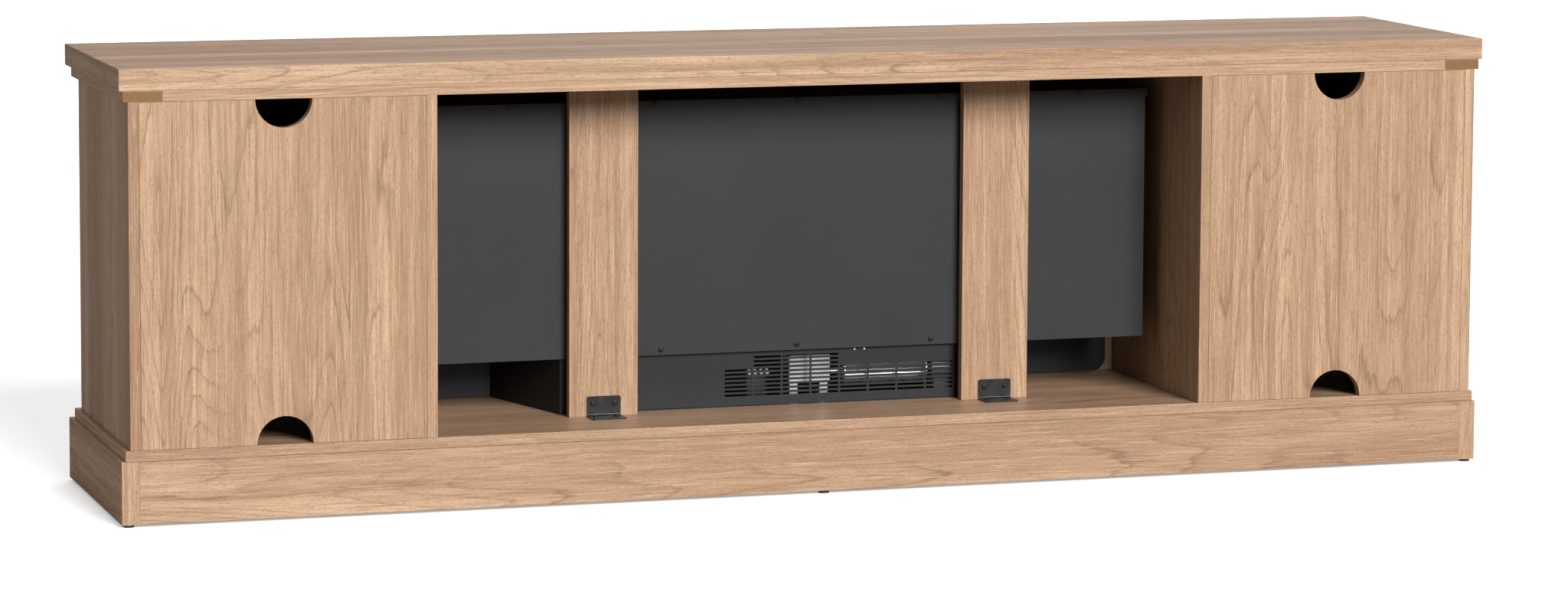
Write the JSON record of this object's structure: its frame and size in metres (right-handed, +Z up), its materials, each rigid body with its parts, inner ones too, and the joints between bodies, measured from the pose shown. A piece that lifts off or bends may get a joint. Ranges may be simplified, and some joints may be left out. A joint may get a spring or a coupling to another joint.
{
  "type": "media cabinet",
  "caption": "Long low wood-laminate media cabinet on a plinth: a door and shelf at each end and an electric fireplace insert in the open-backed middle bay.",
  "frame": {"origin": "on the floor under the middle of the top panel", "axes": "+Z up, +X along the width to the right of a person facing the doors, +Y from the doors to the back"},
  "size_m": [2.032, 0.428, 0.6325],
  "materials": {
    "oak_board": "matt laminate",
    "oak_raw_edge": "matt",
    "charcoal_sheet": "fine matt powder coat",
    "black_steel": "satin",
    "zinc_steel": "bright",
    "black_plastic": "matt",
    "front_glass": "polished, tinted",
    "frosted_screen": "satin",
    "log_moulding": "matt",
    "heating_ceramic": "matt",
    "motor_casing": "satin"
  },
  "bodies": {
    "cabinet": {"top_panel": "oak_board", "frieze_back_rail": "oak_board", "frieze_front_rail": "oak_board", "frieze_cross_strips": "oak_board", "bottom_panel": "oak_board", "plinth_front": "oak_board", "plinth_back": "oak_board", "plinth_centre_rail": "oak_board", "fascia_top_rail": "oak_board", "fascia_bottom_rail": "oak_board", "side_panel_left": "oak_board", "partition_left": "oak_board", "back_panel_left": "oak_board", "shelf_left": "oak_board", "plinth_side_left": "oak_board", "post_left": "oak_board", "fascia_stile_left": "oak_board", "frieze_end_strip_left": "oak_raw_edge", "post_bracket_left": "black_steel", "side_panel_right": "oak_board", "partition_right": "oak_board", "back_panel_right": "oak_board", "shelf_right": "oak_board", "plinth_side_right": "oak_board", "post_right": "oak_board", "fascia_stile_right": "oak_board", "frieze_end_strip_right": "oak_raw_edge", "post_bracket_right": "black_steel", "glides": "black_plastic", "magnetic_catches": "black_plastic", "spindle_motor": "black_plastic", "shelf_pins": "zinc_steel", "heater_box": "zinc_steel", "bracket_screws": "black_steel", "insert_screws": "black_steel", "insert_rear_plate": "charcoal_sheet", "insert_top_cover": "charcoal_sheet", "insert_sides": "charcoal_sheet", "insert_deck": "charcoal_sheet", "insert_lower_walls": "charcoal_sheet", "insert_base_plate": "charcoal_sheet", "insert_vent_plate": "charcoal_sheet", "insert_front_flange": "charcoal_sheet", "insert_glass": "front_glass", "flame_screen": "frosted_screen", "log_set": "log_moulding", "heater_element": "heating_ceramic", "blower_motor": "motor_casing"},
    "left_door": {"door_frame_left": "oak_board", "door_panel_left": "oak_board", "door_handle_left": "black_steel", "door_pivots_left": "zinc_steel", "door_strike_left": "zinc_steel"},
    "right_door": {"door_frame_right": "oak_board", "door_panel_right": "oak_board", "door_handle_right": "black_steel", "door_pivots_right": "zinc_steel", "door_strike_right": "zinc_steel"},
    "blower": {"blower_wheel": "zinc_steel"},
    "spindle": {"flame_spindle": "zinc_steel"}
  },
  "joints": [
    {"name": "left_door_hinge", "type": "hinge", "parent": "cabinet", "child": "left_door", "pos_m": [-0.995, -0.183, 0.3478], "axis": [0, 0, -1], "range_deg": [0, 105]},
    {"name": "right_door_hinge", "type": "hinge", "parent": "cabinet", "child": "right_door", "pos_m": [0.995, -0.183, 0.3478], "axis": [0, 0, 1], "range_deg": [0, 105]},
    {"name": "blower_spin", "type": "hinge", "parent": "cabinet", "child": "blower", "pos_m": [-0.142, 0.037, 0.15], "axis": [1, 0, 0], "continuous": true},
    {"name": "flame_spindle_spin", "type": "hinge", "parent": "cabinet", "child": "spindle", "pos_m": [0, -0.025, 0.2265], "axis": [1, 0, 0], "continuous": true}
  ]
}
